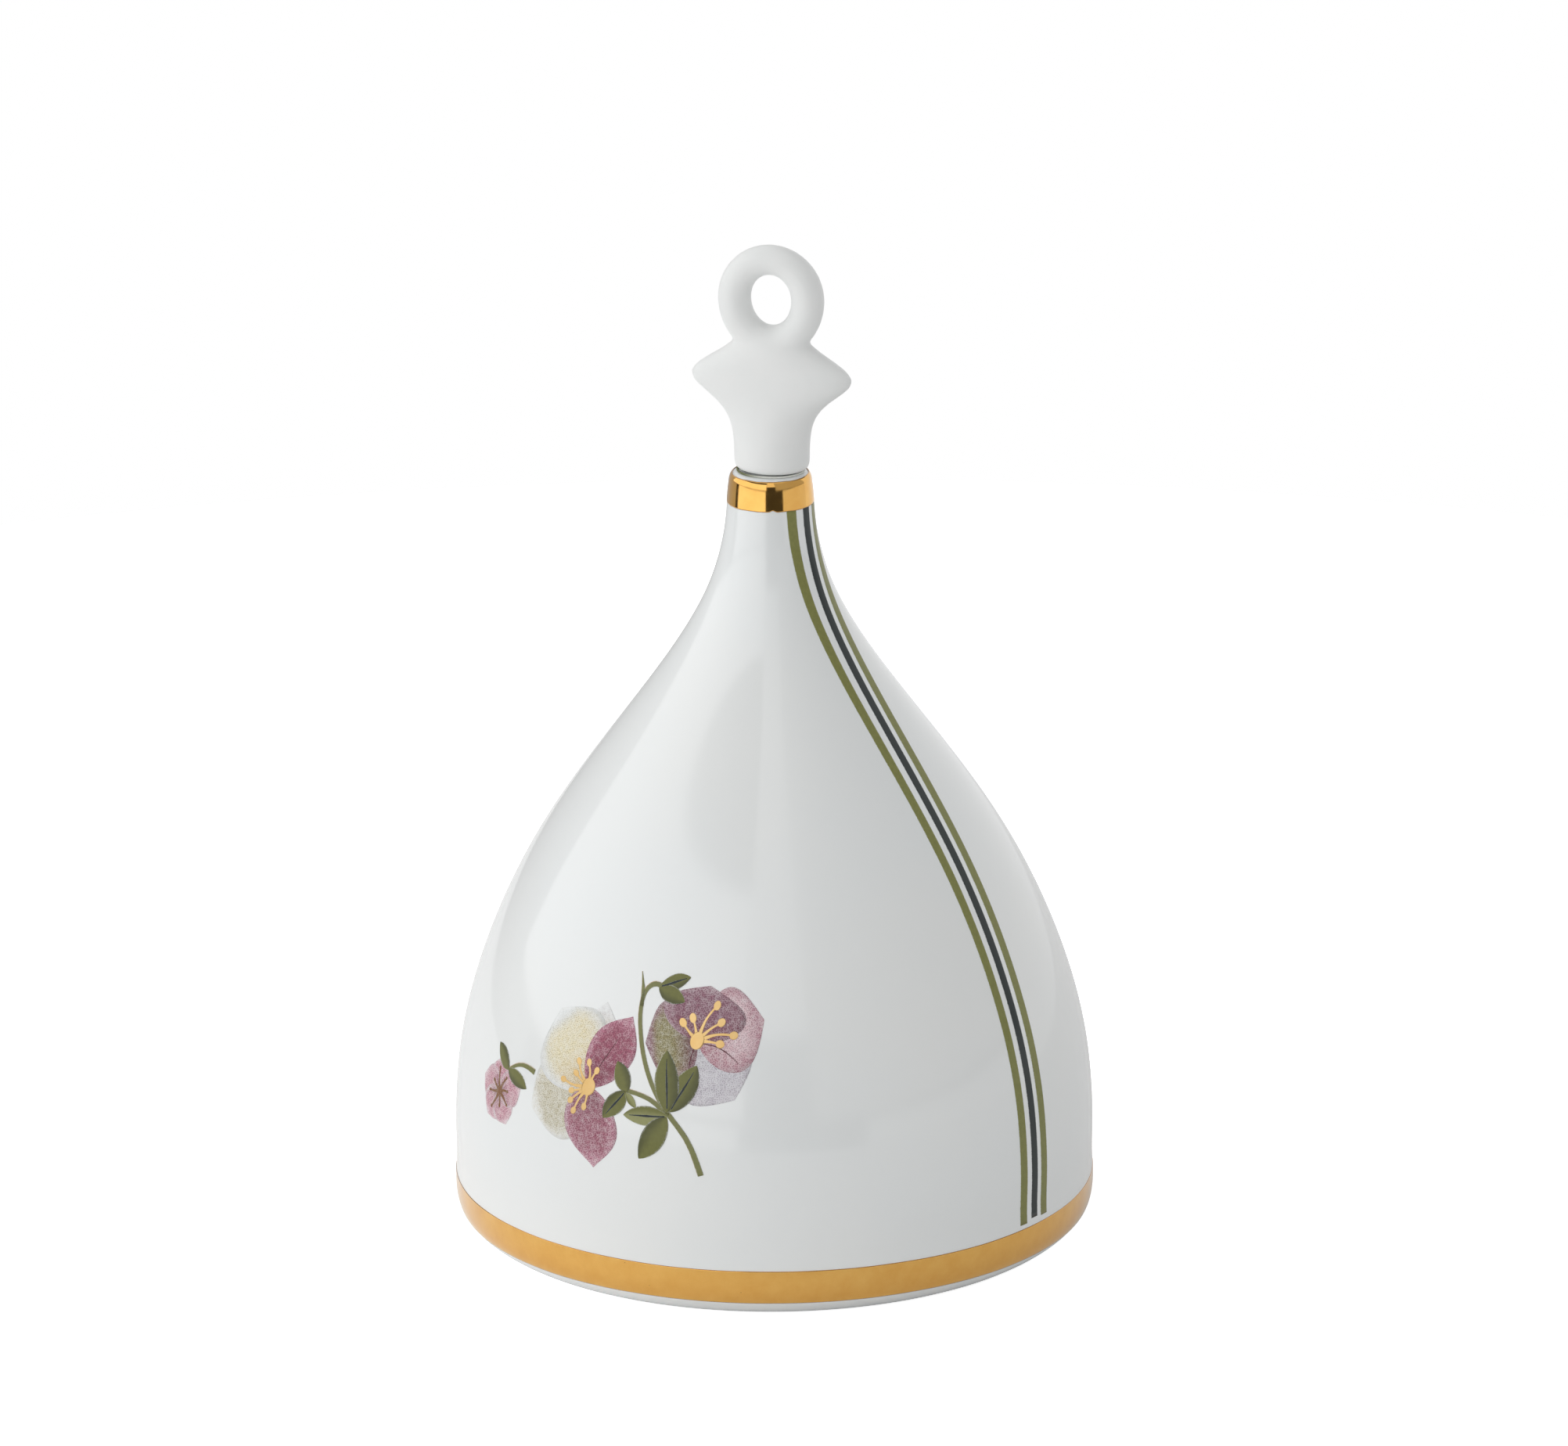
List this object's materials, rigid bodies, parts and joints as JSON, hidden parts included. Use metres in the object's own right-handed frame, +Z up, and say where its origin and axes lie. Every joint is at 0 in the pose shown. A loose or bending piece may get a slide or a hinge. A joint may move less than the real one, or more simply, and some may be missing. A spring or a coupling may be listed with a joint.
{
  "type": "porcelain hand bell",
  "caption": "Glazed porcelain bell with gilded bands, a bisque finial with a hanging loop, and a swinging clapper inside.",
  "frame": {"origin": "middle of the rim's foot, on the surface the bell stands on", "axes": "+Z up the bell's axis; the finial's loop and wings lie in the XZ plane; +Y points to the undecorated back"},
  "size_m": [0.083, 0.083, 0.1308],
  "materials": {
    "glaze": "clear gloss glaze over white porcelain",
    "bisque": "smooth unglazed bisque",
    "cement": "matt",
    "brass": "drawn wire, slightly dulled",
    "gilding": "fired bright gold film",
    "decal": "printed enamel, fired into the glaze"
  },
  "bodies": {
    "bell": {"bell_body": "glaze", "finial": "bisque", "finial_cement": "cement", "hanger_washer": "brass"},
    "hanger": {"hanger_pin": "brass"},
    "clapper": {"clapper_rod": "brass", "clapper_crimp": "brass", "clapper_ball": "glaze", "clapper_washer": "brass"}
  },
  "joints": [
    {"name": "hanger_swivel", "type": "hinge", "parent": "bell", "child": "hanger", "pos_m": [0, 0, 0.0835], "axis": [0, 0, 1], "continuous": true},
    {"name": "clapper_swing", "type": "hinge", "parent": "hanger", "child": "clapper", "pos_m": [0, 0, 0.0809], "axis": [1, 0, 0], "range_deg": [-27.7, 27.7]}
  ]
}
